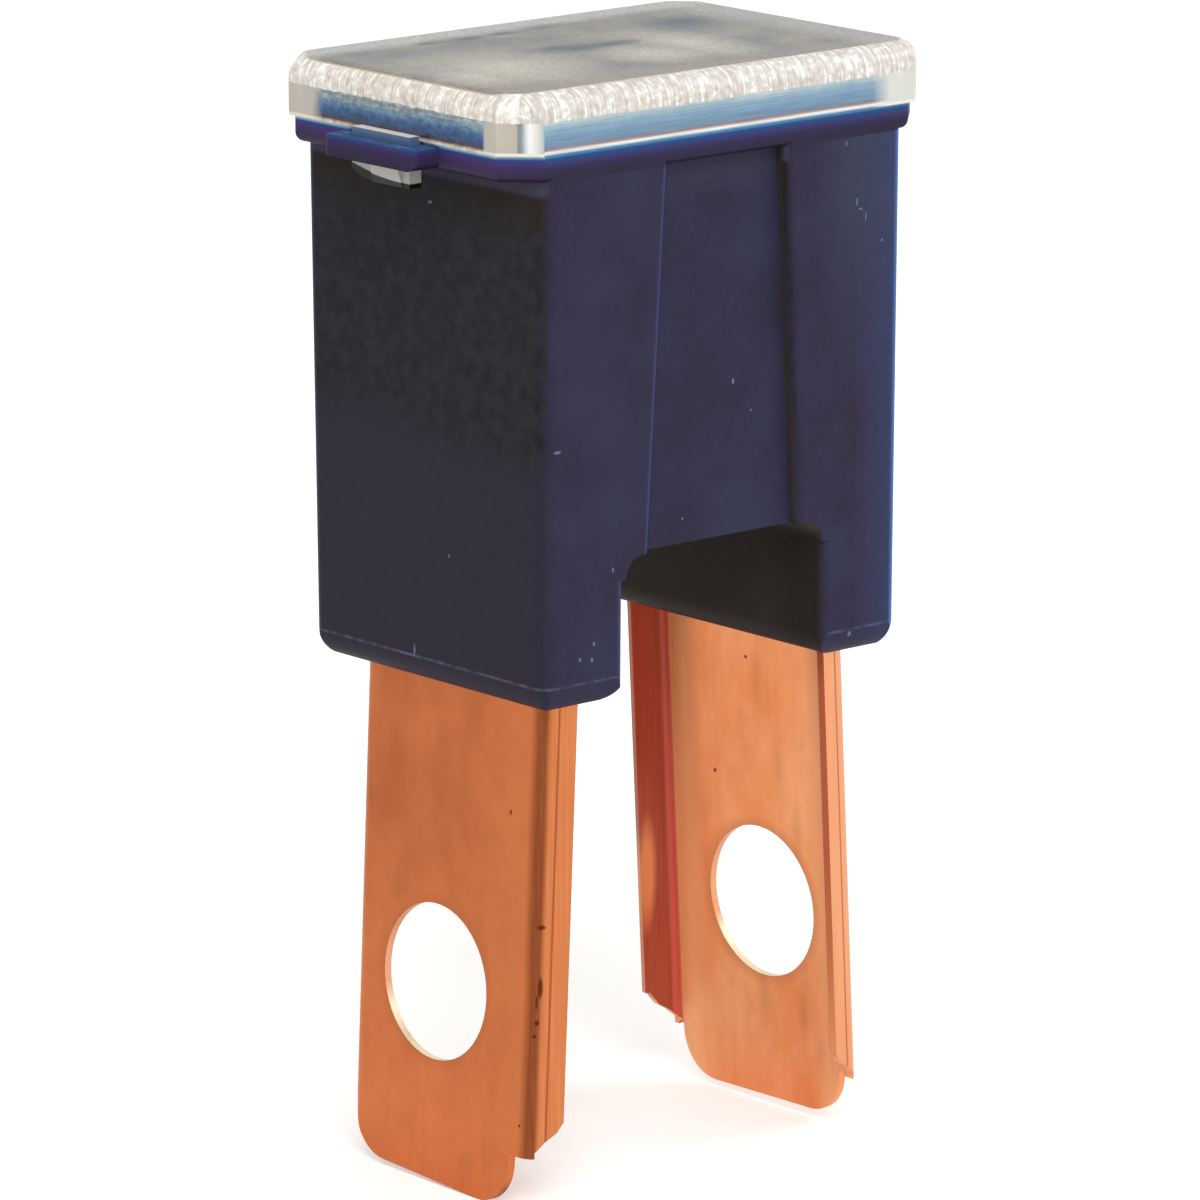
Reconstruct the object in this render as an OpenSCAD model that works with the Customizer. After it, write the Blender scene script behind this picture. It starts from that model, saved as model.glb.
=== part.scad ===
// Bolt-in fusible link: a moulded two-legged housing, a clear cover that clips on, and one strip
// of copper folded into two channel-shaped terminals and the fusible strip that joins them.

/* [Housing] */
// Width across both legs
body_w = 18.95; // [18:0.05:24]
// Depth of the legs at their lower ends
body_d = 14.65; // [14.2:0.05:18]
// Height from the leg ends up to the flange
body_h = 21.4; // [17:0.1:28]
// How far each wide face leans out over the height of the body
body_draft = 0.27; // [0.05:0.01:0.5]
// Radius of the outer upright corners
corner_r = 0.65; // [0.2:0.05:1]
// Width of each leg
leg_w = 4.25; // [3.7:0.05:5]
// Height of the notch between the legs
notch_h = 5.8; // [3:0.05:9]
// Radius in the two upper corners of the notch
notch_r = 0.9; // [0.3:0.05:2]
// Radius of the upright edges beside the notch
leg_edge_r = 0.5; // [0.2:0.05:0.8]
// Thickness of the outer wall of each leg
wall = 1.25; // [1:0.05:1.5]
// Thickness of the floor above the notch
floor_t = 1.2; // [0.8:0.05:2]
// How far the rounded bevel cuts in at the leg ends
bevel_in = 0.62; // [0.2:0.02:0.7]
// Height of the rounded bevel at the leg ends
bevel_h = 1.0; // [0.4:0.05:1.5]
// Radius of the bevel's curved face
bevel_r = 1.3; // [0.9:0.05:4]
// Width of the fuller rounding at the leg ends beside the notch
leg_round = 0.95; // [0.4:0.05:1.2]

/* [Recess in each wide face] */
// Width of the recess just below the flange
recess_top_w = 6.2; // [4:0.1:9]
// Width of the recess where it meets the notch
recess_bottom_w = 7.9; // [5:0.1:10]
// Thickness of plastic left behind the recess
recess_wall = 0.72; // [0.5:0.02:0.9]
// Radius of the columns' edges beside the recess
recess_edge_r = 0.38; // [0.1:0.02:0.4]

/* [Flange and rim] */
// How far the flange overhangs the narrow faces
flange_side = 1.44; // [1.2:0.02:2.2]
// How far the flange overhangs the wide faces
flange_front = 0.05; // [0.05:0.01:0.6]
// Height of the flange
flange_h = 1.1; // [0.8:0.05:2]
// Radius of the flange's lower edge
flange_r = 0.4; // [0.1:0.05:0.6]
// Size of the 45 degree cut at the flange's and the cover's corners
corner_cut = 1.35; // [0.6:0.05:2]
// Height of the rim that the cover fits over
rim_h = 1.15; // [0.6:0.05:1.3]
// Thickness of the rim
rim_t = 1.0; // [0.5:0.05:1.2]
// Length of the gap in the rim at each corner, along the wide faces
rim_gap_w = 1.2; // [0.8:0.05:2]
// Length of the gap in the rim at each corner, along the narrow faces
rim_gap_d = 1.75; // [1:0.05:2.5]

/* [Latches] */
// Thickness of the bar of each latch loop
loop_bar = 0.58; // [0.4:0.02:1]
// Width of the arm at each end of the bar
loop_arm = 0.9; // [0.6:0.05:1.5]
// Height of each latch loop
loop_h = 0.86; // [0.5:0.02:1.1]
// Drop from the top of the flange to the top of the loop
loop_drop = 0.14; // [0.05:0.01:0.4]
// Radius of the loop's corners
loop_r = 0.35; // [0.1:0.05:0.4]

/* [Cover] */
// Height of the cover above the flange
cover_h = 2.4; // [2:0.05:4]
// Thickness of the cover's side wall
cover_wall = 0.7; // [0.5:0.05:0.9]
// Thickness of the cover's top
cover_top = 0.9; // [0.6:0.05:1]
// How far the cover overhangs the flange
cover_lip = 0.18; // [0.05:0.01:0.3]
// Radius of the cover's top edges
cover_r = 0.9; // [0.2:0.05:1]
// Cut on the inner edge of each clear post that fills a gap in the rim
post_cut = 0.25; // [0.1:0.05:0.4]
// Width of each snap tab
tab_w = 3.6; // [2:0.1:5]
// Thickness of each snap tab
tab_t = 0.6; // [0.4:0.05:0.8]
// How far each snap tab reaches below the flange
tab_drop = 0.75; // [0.4:0.05:1]
// Height of the root that joins each snap tab to the cover's side
tab_root = 0.2; // [0.1:0.05:0.6]
// How far the barb on each snap tab reaches out under the loop
barb_out = 0.25; // [0.1:0.05:0.4]

/* [Copper strip] */
// Thickness of the copper strip
strip_t = 0.32; // [0.24:0.01:0.45]
// Outer radius of every bend in the strip
bend_r = 0.75; // [0.65:0.05:0.9]
// Overall width of each terminal across its two lips
blade_w = 12.05; // [10:0.05:12.4]
// Depth of each terminal from its flat face to the edges of its lips
lip_depth = 1.67; // [1.4:0.01:2.2]
// How much deeper the back lip is than the front lip
lip_uneven = 0.24; // [0:0.02:0.4]
// Angle by which the lips stand open beyond square
lip_flare = 14; // [0:1:20]
// How far the left terminal, the longer one, reaches below the housing
blade_drop = 21.14; // [17:0.02:30]
// Angle by which the terminals splay outwards below the housing
splay = 2.7; // [0:0.1:4]
// Diameter of the bolt hole in each terminal
hole_d = 6.5; // [4.3:0.1:7]
// Drop from the leg ends to the centre of the left bolt hole
left_hole_drop = 12.7; // [8:0.05:15]
// Drop from the leg ends to the centre of the right bolt hole
right_hole_drop = 12.2; // [8:0.05:15]
// Distance of the left bolt hole from the middle of its terminal, towards the back
left_hole_shift = 0.5; // [-0.6:0.05:0.6]
// Distance of the right bolt hole from the middle of its terminal, towards the back
right_hole_shift = -0.2; // [-0.6:0.05:0.6]
// Width of the flat tongue at the end of each terminal
tongue_w = 9.85; // [8:0.05:10]
// Length of the left tongue beyond the lips
tongue_l = 2.3; // [1.5:0.05:4]
// How much shorter the right tongue is than the left one
tongue_uneven = 0.28; // [0:0.02:0.5]
// Radius of the tongue's corners
tongue_r = 1.9; // [0.5:0.05:3]
// Distance of the left tongue from the middle of its terminal, towards the back
left_tongue_shift = 0.42; // [-0.5:0.02:0.5]
// Distance of the right tongue from the middle of its terminal, towards the back
right_tongue_shift = 0.18; // [-0.5:0.02:0.5]
// Angle by which the left tongue's end slopes down towards the front
left_tongue_tilt = 2.5; // [-4:0.1:4]
// Angle by which the right tongue's end slopes down towards the front
right_tongue_tilt = -1; // [-4:0.1:4]
// Radius of the small relief beside the tongue
relief_r = 0.15; // [0.1:0.05:0.4]
// Rise of each lip's sloping end
lip_slope = 1.35; // [0.5:0.05:2.5]

/* [Fusible strip] */
// Width of the strip inside the housing
link_w = 2.4; // [1.5:0.1:4]
// Width of the neck that melts
neck_w = 1.2; // [0.6:0.1:1.5]
// Length of the neck that melts
neck_l = 3.4; // [3:0.1:5]
// Distance between the two uprights of the strip, over their outer faces
riser_span = 10.4; // [8:0.1:12]
// Height of the strip's crossbar above the floor of the housing
link_h = 11.35; // [6:0.05:13]
// Diameter of the tin pellet on the neck
pellet_d = 1.9; // [1.6:0.1:3]
// Length of the tin pellet
pellet_l = 2.2; // [1:0.1:2.8]

/* [Hidden] */
$fn = 64;

fit = 0.1;                                  // clearance all round between pieces that slide together
joint = 0.3;                                // overlap of two shapes that are one piece
draft_angle = atan(body_draft / body_h);

// Heights are measured from the leg ends, which stand at blade_drop.
floor_z = notch_h + floor_t;
flange_top = body_h + flange_h;
flange_w = body_w + 2 * flange_side;
flange_d = body_d + 2 * (body_draft + flange_front);
cover_w = flange_w + 2 * cover_lip;
cover_d = flange_d + 2 * cover_lip;
cavity_w = cover_w - 2 * cover_wall;
cavity_d = cover_d - 2 * cover_wall;
rim_w = cavity_w - 2 * fit;
rim_d = cavity_d - 2 * fit;
rim_cut = corner_cut + fit;
chamber_w = body_w - 2 * wall;
chamber_d = blade_w + 2 * fit;
pocket_w = lip_depth + lip_uneven / 2 + strip_t * sin(lip_flare) + 2 * fit;
recess_y = chamber_d / 2 + recess_wall;
notch_w = body_w - 2 * leg_w;
tab_x = flange_w / 2 + fit;
loop_w = tab_w + 2 * fit + 2 * loop_arm;
loop_reach = tab_t + 2 * fit + loop_bar;

// Copper strip: place of the terminal's flat face, its bends and its ends
web_x = chamber_w / 2 - fit;
bend_angle = 90 - lip_flare;
bend_inner_r = bend_r - strip_t;
web_half = blade_w / 2 - lip_depth * tan(lip_flare) - bend_r * tan(bend_angle / 2);
lip_l = (lip_depth - bend_r * (1 - cos(bend_angle))) / cos(lip_flare);
blade_l = (blade_drop - strip_t * sin(splay)) / cos(splay);
lip_end = blade_l - tongue_l;
crossbar_z = floor_z + link_h;
riser_x = riser_span / 2;

// ---- Shared shapes ---------------------------------------------------------------------------

// One copy of the children in each quarter of the plan; they are drawn in the +X +Y quarter.
module in_quarters() {
    for (x = [0, 1], y = [0, 1])
        mirror([x, 0, 0]) mirror([0, y, 0]) children();
}

// One copy of the children on each narrow side; the second is turned half round.
module on_both_ends() {
    for (turn = [0, 180]) rotate(turn) children();
}

// Extrudes a profile drawn in X and Z along Y, centred.
module along_y(length) {
    rotate([90, 0, 0]) translate([0, 0, -length / 2]) linear_extrude(length) children();
}

// Extrudes a profile drawn in Y and Z along X, centred.
module along_x(length) {
    rotate([90, 0, 90]) translate([0, 0, -length / 2]) linear_extrude(length) children();
}

// Rectangle with its four corners cut at 45 degrees.
module cut_plan(w, d, cut) {
    polygon([
        [w / 2, d / 2 - cut], [w / 2 - cut, d / 2], [cut - w / 2, d / 2], [-w / 2, d / 2 - cut],
        [-w / 2, cut - d / 2], [cut - w / 2, -d / 2], [w / 2 - cut, -d / 2], [w / 2, cut - d / 2]
    ]);
}

// Section standing on the axis, with its two upper corners rounded.
module arch_section(w, h, r) {
    translate([-w / 2, 0]) square([w, h - r]);
    translate([r - w / 2, 0]) square([w - 2 * r, h]);
    for (side = [-1, 1]) translate([side * (w / 2 - r), h - r]) circle(r);
}

// Slab with cut corners and every upper edge rounded.
module soft_slab(w, d, h, cut, r) {
    across = (w + d - 2 * cut) / sqrt(2);
    intersection() {
        linear_extrude(h) cut_plan(w, d, cut);
        along_y(2 * d) arch_section(w, h, r);
        along_x(2 * w) arch_section(d, h, r);
        rotate(45) along_y(2 * w) arch_section(across, h, r);
        rotate(-45) along_y(2 * w) arch_section(across, h, r);
    }
}

// Cutter that rounds an upright edge lying on the Z axis, with the solid towards +X and +Y.
module edge_cutter(r, h) {
    difference() {
        translate([-1, -1, 0]) cube([r + 1, r + 1, h]);
        translate([r, r, -1]) cylinder(r = r, h = h + 2);
    }
}

// Part of a ring, from angle 0 round to the given angle (less than 180 degrees).
module ring_sector(outer_r, inner_r, angle) {
    reach = 3 * outer_r;
    intersection() {
        difference() {
            circle(outer_r);
            circle(inner_r);
        }
        polygon([
            [0, 0], [reach, 0],
            [reach * cos(angle / 2), reach * sin(angle / 2)],
            [reach * cos(angle), reach * sin(angle)]
        ]);
    }
}

// ---- Housing ---------------------------------------------------------------------------------

// What a rounded bevel removes at a lower corner that lies on the origin, solid towards +X +Y.
module bevel_section(inset, r) {
    chord = norm([inset, bevel_h]);
    depth = sqrt(r * r - chord * chord / 4);
    difference() {
        polygon([[-1, -1], [inset, -1], [inset, 0], [0, bevel_h], [-1, bevel_h]]);
        translate([inset / 2 + bevel_h * depth / chord, bevel_h / 2 + inset * depth / chord]) circle(r);
    }
}

// The body seen along a diagonal: its lower corners are cut, to soften where two bevels meet.
module diagonal_section() {
    half = (body_w + body_d) / 2 / sqrt(2) - 0.4 * corner_r;
    difference() {
        translate([-half - 1, 0]) square([2 * half + 2, body_h + joint]);
        for (side = [0, 1]) mirror([side, 0]) {
            translate([half, 0]) mirror([1, 0]) bevel_section(bevel_in, bevel_r);
            translate([half, -1]) square([2, bevel_h + 1]);
        }
    }
}

// The body seen from a wide side: two legs with bevelled ends and the notch between them.
module wide_section() {
    top = body_h + joint;
    difference() {
        translate([-body_w / 2, 0]) square([body_w, top]);
        translate([0, -joint]) arch_section(notch_w, notch_h + joint, notch_r);
        for (side = [0, 1]) mirror([side, 0]) {
            translate([body_w / 2 - leg_w, 0]) bevel_section(leg_round, max(leg_round, bevel_h));
            translate([body_w / 2, 0]) mirror([1, 0]) bevel_section(bevel_in, bevel_r);
        }
    }
}

// The body seen from a narrow side: faces that lean out, and bevelled ends.
module narrow_section() {
    top = body_h + joint;
    lean = body_draft * top / body_h;
    difference() {
        polygon([
            [-body_d / 2, 0], [body_d / 2, 0],
            [body_d / 2 + lean, top], [-body_d / 2 - lean, top]
        ]);
        for (side = [0, 1]) mirror([side, 0])
            translate([body_d / 2, 0]) mirror([1, 0]) bevel_section(bevel_in, bevel_r);
    }
}

// Shallow recess in the +Y face, wider at the notch than at the flange.
module recess() {
    widen = (recess_bottom_w - recess_top_w) / (body_h - notch_h);
    low = notch_h - 1;
    low_w = recess_bottom_w + widen;
    high_w = recess_top_w - widen;
    translate([0, recess_y + 2, 0])
        along_y(4) polygon([
            [-low_w / 2, low], [low_w / 2, low],
            [high_w / 2, body_h + 1], [-high_w / 2, body_h + 1]
        ]);
}

// Cutter for the column's edge beside the recess, drawn for the +X +Y quarter.
module recess_edge() {
    lean = atan((recess_bottom_w - recess_top_w) / 2 / (body_h - notch_h));
    translate([recess_bottom_w / 2, body_d / 2 + body_draft * notch_h / body_h, notch_h])
        rotate([-draft_angle, -lean, 0])
            translate([0, 0, -joint])
                rotate(-90) edge_cutter(recess_edge_r, body_h - notch_h + 3 * joint);
}

module body_block() {
    difference() {
        intersection() {
            along_y(2 * body_d) wide_section();
            along_x(2 * body_w) narrow_section();
            rotate(45) along_y(2 * body_w) diagonal_section();
            rotate(-45) along_y(2 * body_w) diagonal_section();
        }
        in_quarters() {
            translate([body_w / 2, body_d / 2, 0])
                rotate([-draft_angle, 0, 0])
                    translate([0, 0, -1]) rotate(180) edge_cutter(corner_r, body_h + 2);
            translate([body_w / 2 - leg_w, body_d / 2, 0])
                rotate([-draft_angle, 0, 0])
                    translate([0, 0, -1]) rotate(-90) edge_cutter(leg_edge_r, notch_h - notch_r + 1);
            recess_edge();
        }
        for (side = [0, 1]) mirror([0, side, 0]) recess();
    }
}

// Bridge on the +X end of the flange that a snap tab passes behind.
module latch_loop() {
    z = flange_top - loop_drop - loop_h;
    start = flange_w / 2 - joint;
    length = loop_reach + joint;
    intersection() {
        translate([start, 0, z + loop_h]) mirror([0, 0, 1])
            along_x(2 * length) arch_section(loop_w, loop_h, loop_r);
        translate([start, 0, z]) linear_extrude(loop_h) rotate(-90) arch_section(loop_w, length, loop_r);
    }
}

// Four low walls with a gap at each corner.
module rim() {
    inner_w = rim_w - 2 * rim_t;
    translate([0, 0, flange_top - joint]) linear_extrude(rim_h + joint) difference() {
        cut_plan(rim_w, rim_d, rim_cut);
        translate([-inner_w / 2, -chamber_d / 2]) square([inner_w, chamber_d]);
        for (x = [-1, 1], y = [-1, 1])
            translate([x * (rim_w - rim_gap_w) / 2, y * (rim_d - rim_gap_d) / 2])
                square([rim_gap_w + 2 * fit, rim_gap_d + 2 * fit], center = true);
    }
}

module housing() {
    color("midnightblue") translate([0, 0, blade_drop]) difference() {
        union() {
            body_block();
            translate([0, 0, flange_top]) mirror([0, 0, 1])
                soft_slab(flange_w, flange_d, flange_h, corner_cut, flange_r);
            rim();
            on_both_ends() latch_loop();
        }
        // Chamber for the fusible strip, open at the top
        translate([-chamber_w / 2, -chamber_d / 2, floor_z])
            cube([chamber_w, chamber_d, flange_top + 1 - floor_z]);
        // Pocket through each leg for a terminal, and the opening in each latch loop
        on_both_ends() {
            translate([chamber_w / 2 - pocket_w, -chamber_d / 2, -1])
                cube([pocket_w, chamber_d, floor_z + 2]);
            translate([flange_w / 2, -tab_w / 2 - fit, body_h - 1])
                cube([tab_t + 2 * fit, tab_w + 2 * fit, flange_h + 2]);
        }
    }
}

// ---- Cover -----------------------------------------------------------------------------------

// Outline of a snap tab seen from outside: one lower corner is swept up.
module tab_section() {
    drop = flange_h + tab_drop;
    sweep_w = 0.45 * tab_w;
    sweep_r = tab_w;
    translate([-tab_w / 2, -drop]) square([tab_w - sweep_w, drop + tab_root]);
    intersection() {
        translate([tab_w / 2 - sweep_w - joint, -drop]) square([sweep_w + joint, drop + tab_root]);
        translate([tab_w / 2 - sweep_w, sweep_r - drop]) circle(sweep_r);
    }
}

// Snap tab on the +X end, with a barb that catches under the latch loop.
module snap_tab() {
    catch_z = -loop_drop - loop_h - fit / 2;
    end_z = -flange_h - tab_drop;
    out_x = tab_x + tab_t;
    translate([tab_x + tab_t / 2, 0, 0]) along_x(tab_t) mirror([1, 0]) tab_section();
    translate([0, tab_w / 8, 0])
        along_y(tab_w / 2) polygon([
            [out_x - joint, catch_z], [out_x + barb_out, catch_z],
            [out_x, end_z], [out_x - joint, end_z]
        ]);
}

// Plan of the cavity, with a post left in each corner; the post's inner edge is cut off.
module cavity_plan() {
    post_w = (cavity_w - rim_w) / 2 + rim_gap_w - fit;
    post_d = (cavity_d - rim_d) / 2 + rim_gap_d - fit;
    difference() {
        square([cavity_w, cavity_d], center = true);
        for (x = [0, 1], y = [0, 1]) mirror([x, 0]) mirror([0, y])
            translate([cavity_w / 2, cavity_d / 2]) polygon([
                [1, 1], [-post_w, 1], [-post_w, post_cut - post_d], [post_cut - post_w, -post_d], [1, -post_d]
            ]);
    }
}

module cover() {
    color("gainsboro", 0.6) translate([0, 0, blade_drop + flange_top]) {
        difference() {
            soft_slab(cover_w, cover_d, cover_h, corner_cut, cover_r);
            translate([0, 0, -1]) linear_extrude(cover_h - cover_top + 1) cavity_plan();
        }
        on_both_ends() snap_tab();
    }
}

// ---- Fuse element ----------------------------------------------------------------------------

// Section of a terminal: flat web with its outer face on X = 0, and a lip folded in at each side.
module channel_section() {
    translate([-strip_t, -web_half]) square([strip_t, 2 * web_half]);
    for (side = [0, 1]) mirror([0, side]) translate([-bend_r, web_half]) {
        ring_sector(bend_r, bend_inner_r, bend_angle);
        rotate(bend_angle) translate([bend_inner_r, 0])
            square([strip_t, lip_l + (0.5 - side) * lip_uneven / cos(lip_flare)]);
    }
}

// Outline of the terminal seen from outside: lips above, flat tongue with rounded corners below.
// The tongue turns about the middle of its upper end; its lower corner stays at the asked length.
module blade_outline(length, shift, tilt) {
    sag = (tongue_w / 2 - tongue_r) * sin(abs(tilt));
    reach = tongue_r + (length - tongue_r - sag) / cos(tilt);
    difference() {
        union() {
            translate([shift, -lip_end]) rotate(tilt) translate([0, tongue_r])
                mirror([0, 1]) arch_section(tongue_w, tongue_r + reach, tongue_r);
            translate([-blade_w, -lip_end]) square([2 * blade_w, lip_end + 2]);
        }
        for (side = [-1, 1])
            translate([shift + side * (tongue_w / 2 + relief_r), -lip_end]) circle(relief_r);
    }
}

// What is cut from the ends of the lips, seen from a wide side.
module lip_end_section() {
    start = 1.1 * strip_t;
    polygon([
        [-start, -blade_l], [-start, lip_slope / 5 - lip_end],
        [-bend_r, lip_slope / 2 - lip_end], [-0.75 * lip_depth, 0.75 * lip_slope - lip_end],
        [-lip_depth, 1.2 * lip_slope - lip_end], [-2 * lip_depth, 1.2 * lip_slope - lip_end],
        [-2 * lip_depth, -blade_l]
    ]);
}

// The part of the +X terminal below the housing, turned out about the leg's end.
module blade(hole_drop, hole_shift, tongue_length, tongue_shift, tongue_tilt) {
    rotate([0, -splay, 0]) difference() {
        intersection() {
            translate([0, 0, -blade_l]) linear_extrude(blade_l + joint) channel_section();
            along_x(4 * lip_depth) blade_outline(tongue_length, tongue_shift, tongue_tilt);
        }
        along_y(2 * blade_w) lip_end_section();
        translate([0, hole_shift, -hole_drop / cos(splay)])
            rotate([0, 90, 0]) cylinder(d = hole_d, h = 4 * strip_t, center = true);
    }
}

// The folded strip seen from a wide side, its right half: up inside the leg, in along the floor,
// up again and across to the middle.
module folded_section() {
    fold_x = web_x - bend_r;
    translate([web_x - strip_t, floor_z - 3 * bend_r]) square([strip_t, 3 * bend_r - bend_inner_r]);
    translate([fold_x, floor_z - bend_inner_r]) ring_sector(bend_r, bend_inner_r, 90);
    translate([riser_x + bend_inner_r, floor_z]) square([fold_x - riser_x - bend_inner_r, strip_t]);
    translate([riser_x + bend_inner_r, floor_z + bend_r]) rotate(180) ring_sector(bend_r, bend_inner_r, 90);
    translate([riser_x - strip_t, floor_z + bend_r]) square([strip_t, link_h - bend_r - bend_inner_r]);
    translate([riser_x - bend_r, crossbar_z - bend_inner_r]) ring_sector(bend_r, bend_inner_r, 90);
    translate([-joint, crossbar_z]) square([riser_x - bend_r + joint, strip_t]);
}

// The same half seen from above: wide on the floor, narrow across, narrowest at the neck.
module folded_plan() {
    taper = web_x - bend_r;
    half = [
        [-joint, neck_w / 2], [neck_l / 2, neck_w / 2], [neck_l / 2 + link_w / 2, link_w / 2],
        [riser_x + bend_inner_r, link_w / 2], [taper, web_half], [web_x + 1, web_half]
    ];
    polygon(concat(half, [for (i = [len(half) - 1:-1:0]) [half[i][0], -half[i][1]]]));
}

module fuse_element() {
    color("peru") translate([0, 0, blade_drop]) for (side = [0, 1]) mirror([side, 0, 0]) {
        translate([web_x, 0, 0]) {
            if (side == 0)
                blade(right_hole_drop, right_hole_shift, tongue_l - tongue_uneven,
                      right_tongue_shift, right_tongue_tilt);
            else
                blade(left_hole_drop, left_hole_shift, tongue_l, left_tongue_shift, left_tongue_tilt);
            translate([0, 0, -joint]) linear_extrude(floor_z - 2 * bend_r + joint) channel_section();
        }
        intersection() {
            along_y(2 * blade_w) folded_section();
            translate([0, 0, floor_z - 4 * bend_r]) linear_extrude(link_h + 6 * bend_r) folded_plan();
        }
    }
}

// ---- Tin pellet ------------------------------------------------------------------------------

module tin_pellet() {
    edge = 0.2;
    color("silver") translate([0, 0, blade_drop + crossbar_z + strip_t / 2]) difference() {
        rotate([0, 90, 0]) translate([0, 0, -pellet_l / 2]) rotate_extrude() polygon([
            [0, 0], [pellet_d / 2 - edge, 0], [pellet_d / 2, edge],
            [pellet_d / 2, pellet_l - edge], [pellet_d / 2 - edge, pellet_l], [0, pellet_l]
        ]);
        cube([2 * pellet_l, neck_w, strip_t], center = true);
    }
}

housing();
cover();
fuse_element();
tin_pellet();
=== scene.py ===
"""Looks of a bolt-in fusible link: dark moulded housing, clear cover, folded copper terminals.

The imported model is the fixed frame. Each of its nodes keeps its shape and gets a real finish, and
a small studio stands round it. No piece is added to the part.
"""

import logging
import math
from dataclasses import dataclass, field
from enum import Enum
from typing import Any, Sequence

import bpy
from mathutils import Matrix, Vector

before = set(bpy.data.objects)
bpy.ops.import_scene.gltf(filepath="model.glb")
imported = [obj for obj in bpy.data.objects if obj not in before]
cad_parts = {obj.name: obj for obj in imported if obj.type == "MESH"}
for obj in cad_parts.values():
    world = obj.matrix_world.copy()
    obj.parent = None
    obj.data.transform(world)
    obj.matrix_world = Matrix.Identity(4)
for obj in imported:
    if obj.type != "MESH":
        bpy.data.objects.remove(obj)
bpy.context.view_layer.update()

LOG = logging.getLogger("fusible_link")
MM = 0.001
VECTOR = "ShaderNodeVectorMath"
# Half the width of a soft border between two colours, in millimetres
SOFT = 0.02

Tree = bpy.types.NodeTree
Node = bpy.types.Node
Socket = bpy.types.NodeSocket
Point = tuple[float, float, float]
# Where a change starts and where it is complete; the second may be the smaller of the two
Span = tuple[float, float]
# Places from nought to one, each with a grey value or a hex colour
Stops = Sequence[tuple[float, float | str]]


# ---- Small helpers ---------------------------------------------------------------------------


def linear(hex_colour: str) -> tuple[float, float, float, float]:
    """Turns an sRGB colour into the linear one that shaders use.

    Args:
        hex_colour: six hex digits, red first.

    Returns:
        Linear red, green, blue and an alpha of one.
    """
    values = [int(hex_colour[i : i + 2], 16) / 255 for i in (0, 2, 4)]
    r, g, b = (v / 12.92 if v <= 0.04045 else ((v + 0.055) / 1.055) ** 2.4 for v in values)
    return (r, g, b, 1.0)


def add(tree: Tree, kind: str, links: dict[Any, Any] | None = None, **settings: Any) -> Node:
    """Adds a node with its settings and links.

    Args:
        tree: the node tree to add to.
        kind: the node's Blender type name.
        links: input name or number to a value, or to a socket that feeds it.
        settings: properties of the node itself.

    Returns:
        The new node.
    """
    node = tree.nodes.new(kind)
    for name, value in settings.items():
        setattr(node, name, value)
    for key, value in (links or {}).items():
        if isinstance(value, Socket):
            tree.links.new(value, node.inputs[key])
        else:
            node.inputs[key].default_value = value
    return node


def ramp(tree: Tree, source: Socket, stops: Stops) -> Socket:
    """Maps a value through colour stops.

    Args:
        tree: the node tree to add to.
        source: the value to map.
        stops: position and either a grey value or a hex colour, in rising order.

    Returns:
        The ramp's colour output.
    """
    node = add(tree, "ShaderNodeValToRGB", {0: source})
    elements = node.color_ramp.elements
    while len(elements) < len(stops):
        elements.new(0.5)
    for element, (place, value) in zip(elements, stops):
        element.position = place
        element.color = linear(value) if isinstance(value, str) else (value, value, value, 1.0)
    return node.outputs[0]


def grey(tree: Tree, operation: str, *values: Socket | float, clamp: bool = False) -> Socket:
    """Does a sum with sockets and numbers.

    Args:
        tree: the node tree to add to.
        operation: Blender's name for the sum.
        values: its inputs in order.
        clamp: whether the result is held between nought and one.

    Returns:
        The result.
    """
    links = dict(enumerate(values))
    return add(tree, "ShaderNodeMath", links, operation=operation, use_clamp=clamp).outputs[0]


def blend_colour(
    tree: Tree,
    share: Socket | float,
    first: Socket | str,
    second: Socket | str,
    kind: str = "MIX",
) -> Socket:
    """Mixes two colours.

    Args:
        tree: the node tree to add to.
        share: how much of the second colour.
        first: a colour socket or a hex colour.
        second: a colour socket or a hex colour.
        kind: Blender's name for the way of mixing.

    Returns:
        The mixed colour.
    """
    pair = [linear(c) if isinstance(c, str) else c for c in (first, second)]
    links = {0: share, 6: pair[0], 7: pair[1]}
    return add(tree, "ShaderNodeMix", links, data_type="RGBA", blend_type=kind).outputs[2]


class Axis(Enum):
    """A direction of the part, by its place in a vector."""

    X = 0
    Y = 1
    Z = 2


def gate(tree: Tree, value: Socket, closed: float, opened: float) -> Socket:
    """Turns a value into nought where it passes closed and one where it passes opened.

    Args:
        tree: the node tree to add to.
        value: the value to judge.
        closed: where the result is nought.
        opened: where the result is one; it may be the smaller of the two.

    Returns:
        The share, from nought to one.
    """
    links = {0: value, 1: min(closed, opened), 2: max(closed, opened)}
    links |= {3: 0.0, 4: 1.0} if closed < opened else {3: 1.0, 4: 0.0}
    return add(tree, "ShaderNodeMapRange", links, clamp=True).outputs[0]


def both(tree: Tree, *shares: Socket | float) -> Socket:
    """Gives the product of several shares.

    Args:
        tree: the node tree to add to.
        shares: the shares to multiply.

    Returns:
        The product.
    """
    result = shares[0]
    for share in shares[1:]:
        result = grey(tree, "MULTIPLY", result, share)
    return result


def most(tree: Tree, *values: Socket | float) -> Socket:
    """Gives the largest of several values.

    Args:
        tree: the node tree to add to.
        values: the values to compare.

    Returns:
        The largest one.
    """
    result = values[0]
    for value in values[1:]:
        result = grey(tree, "MAXIMUM", result, value)
    return result


def layered(
    tree: Tree,
    base: Socket | str,
    layers: Sequence[tuple[Socket | float, Socket | str]],
) -> Socket:
    """Lays colours over one another.

    Args:
        tree: the node tree to add to.
        base: the lowest colour.
        layers: share and colour of each layer, from the lowest up.

    Returns:
        The finished colour.
    """
    for share, colour in layers:
        base = blend_colour(tree, share, base, colour)
    return base


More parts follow.
